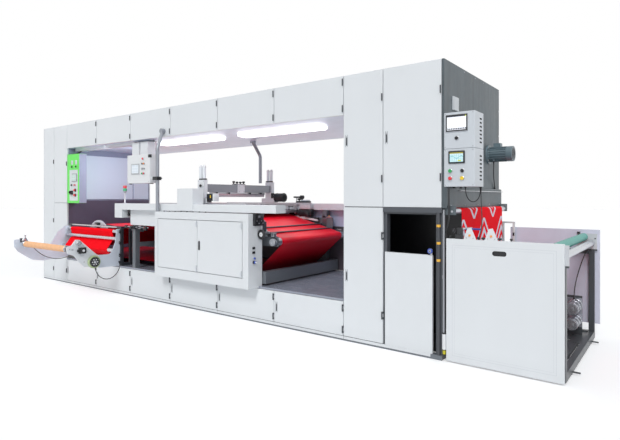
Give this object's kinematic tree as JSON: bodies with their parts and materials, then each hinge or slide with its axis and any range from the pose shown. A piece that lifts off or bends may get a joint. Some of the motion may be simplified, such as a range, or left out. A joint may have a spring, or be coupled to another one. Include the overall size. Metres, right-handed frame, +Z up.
{
  "type": "roll-to-roll screen printing machine",
  "caption": "Long enclosed roll-to-roll screen printing machine with unwinder, print station under a dryer tunnel, and a rewinder at its tower end.",
  "frame": {"origin": "floor level at the middle of the housing's footprint", "axes": "+X along the machine toward the rewinder, -Y the operator's side, +Z up"},
  "size_m": [8.212, 2.4171, 2.585],
  "materials": {
    "panel_white": "satin",
    "frame_grey": "satin",
    "black_metal": "satin",
    "bare_steel": "brushed",
    "aluminium_bar": "brushed",
    "motor_grey": "satin",
    "screen_glass": "gloss",
    "button_plastic": "gloss",
    "panel_green": "satin",
    "lamp_white": "matte",
    "core_card": "matte",
    "roller_rubber": "satin",
    "printed_film": "satin",
    "black_rubber": "matte"
  },
  "bodies": {
    "housing": {"left_cabinet_panels": "panel_white", "upper_front_panels": "panel_white", "back_panels": "panel_white", "drop_panel": "panel_white", "base_door_2": "panel_white", "inner_wall_panels": "panel_white", "print_beams": "panel_white", "print_cabinet": "panel_white", "rewinder_panels": "panel_white", "cable_tray": "panel_white", "base_frame": "frame_grey", "deck_plate": "frame_grey", "left_cabinet": "frame_grey", "dryer_body": "frame_grey", "back_rail": "frame_grey", "roof_panels": "frame_grey", "tower_frame": "frame_grey", "table_frame": "frame_grey", "hmi_box": "frame_grey", "control_boxes": "frame_grey", "tower_lining": "black_metal", "unwind_plates": "black_metal", "unwind_frame": "black_metal", "brake_arm": "black_metal", "rewinder_base": "black_metal", "end_sheet": "bare_steel", "print_table": "bare_steel", "unwind_rollers": "bare_steel", "conduit_tubes": "bare_steel", "screen_frame": "aluminium_bar", "end_motor": "motor_grey", "control_screens": "screen_glass", "control_buttons": "button_plastic", "signal_light": "button_plastic", "instrument_panel": "panel_green", "ceiling_lights": "lamp_white", "web_table": "printed_film", "web_unwind": "printed_film", "web_end": "printed_film", "corner_lines": "black_rubber", "unwind_cable": "black_rubber", "brake_cable": "black_rubber", "box_cable": "black_rubber", "guide_cable": "black_rubber", "motor_cable": "black_rubber", "rewinder_cable": "black_rubber"},
    "low_door_1": {"base_door_1": "panel_white"},
    "low_door_3": {"base_door_3": "panel_white"},
    "low_door_4": {"base_door_4": "panel_white"},
    "low_door_5": {"base_door_5": "panel_white"},
    "low_door_6": {"base_door_6": "panel_white"},
    "tall_door": {"tower_door": "panel_white"},
    "left_cabinet_door": {"cabinet_left_door": "panel_white"},
    "right_cabinet_door": {"cabinet_right_door": "panel_white"},
    "carriage": {"squeegee_carriage": "panel_white"},
    "core": {"paper_core": "core_card"},
    "outfeed_drum": {"outfeed_roller": "bare_steel"},
    "hood_drum": {"hood_roller": "bare_steel"},
    "drive_drum": {"drive_roller": "roller_rubber"},
    "nip_drum": {"nip_roller": "bare_steel"}
  },
  "joints": [
    {"name": "low_door_1_hinge", "type": "hinge", "parent": "housing", "child": "low_door_1", "pos_m": [-1.923, -0.7985, 0.213], "axis": [0, 0, 1], "range_deg": [0, 90]},
    {"name": "low_door_3_hinge", "type": "hinge", "parent": "housing", "child": "low_door_3", "pos_m": [-0.123, -0.7985, 0.213], "axis": [0, 0, 1], "range_deg": [0, 90]},
    {"name": "low_door_4_hinge", "type": "hinge", "parent": "housing", "child": "low_door_4", "pos_m": [0.777, -0.7985, 0.213], "axis": [0, 0, 1], "range_deg": [0, 90]},
    {"name": "low_door_5_hinge", "type": "hinge", "parent": "housing", "child": "low_door_5", "pos_m": [1.677, -0.7985, 0.213], "axis": [0, 0, 1], "range_deg": [0, 90]},
    {"name": "low_door_6_hinge", "type": "hinge", "parent": "housing", "child": "low_door_6", "pos_m": [2.577, -0.7985, 0.213], "axis": [0, 0, 1], "range_deg": [0, 90]},
    {"name": "tall_door_hinge", "type": "hinge", "parent": "housing", "child": "tall_door", "pos_m": [3.012, -0.7985, 0.67], "axis": [0, 0, 1], "range_deg": [0, 90]},
    {"name": "left_cabinet_door_hinge", "type": "hinge", "parent": "housing", "child": "left_cabinet_door", "pos_m": [0.61, -0.9675, 0.816], "axis": [0, 0, 1], "range_deg": [0, 90]},
    {"name": "right_cabinet_door_hinge", "type": "hinge", "parent": "housing", "child": "right_cabinet_door", "pos_m": [1.361, -0.9675, 0.816], "axis": [0, 0, 1], "range_deg": [0, 90]},
    {"name": "carriage_slide", "type": "slide", "parent": "housing", "child": "carriage", "axis": [1, 0, 0], "range_m": [-0.62, 0.4]},
    {"name": "core_turn", "type": "hinge", "parent": "housing", "child": "core", "pos_m": [-2.01, -1.5, 0.698], "axis": [1, 0, 0], "continuous": true},
    {"name": "outfeed_turn", "type": "hinge", "parent": "housing", "child": "outfeed_drum", "pos_m": [1.6, 0, 0.897], "axis": [0, 1, 0], "continuous": true},
    {"name": "hood_roller_turn", "type": "hinge", "parent": "housing", "child": "hood_drum", "pos_m": [3.665, 0, 1.276], "axis": [0, 1, 0], "continuous": true},
    {"name": "drive_roller_turn", "type": "hinge", "parent": "housing", "child": "drive_drum", "pos_m": [4.44, 0, 1.003], "axis": [0, 1, 0], "continuous": true},
    {"name": "nip_roller_turn", "type": "hinge", "parent": "housing", "child": "nip_drum", "pos_m": [4.505, 0, 0.947], "axis": [0, 1, 0], "continuous": true}
  ]
}
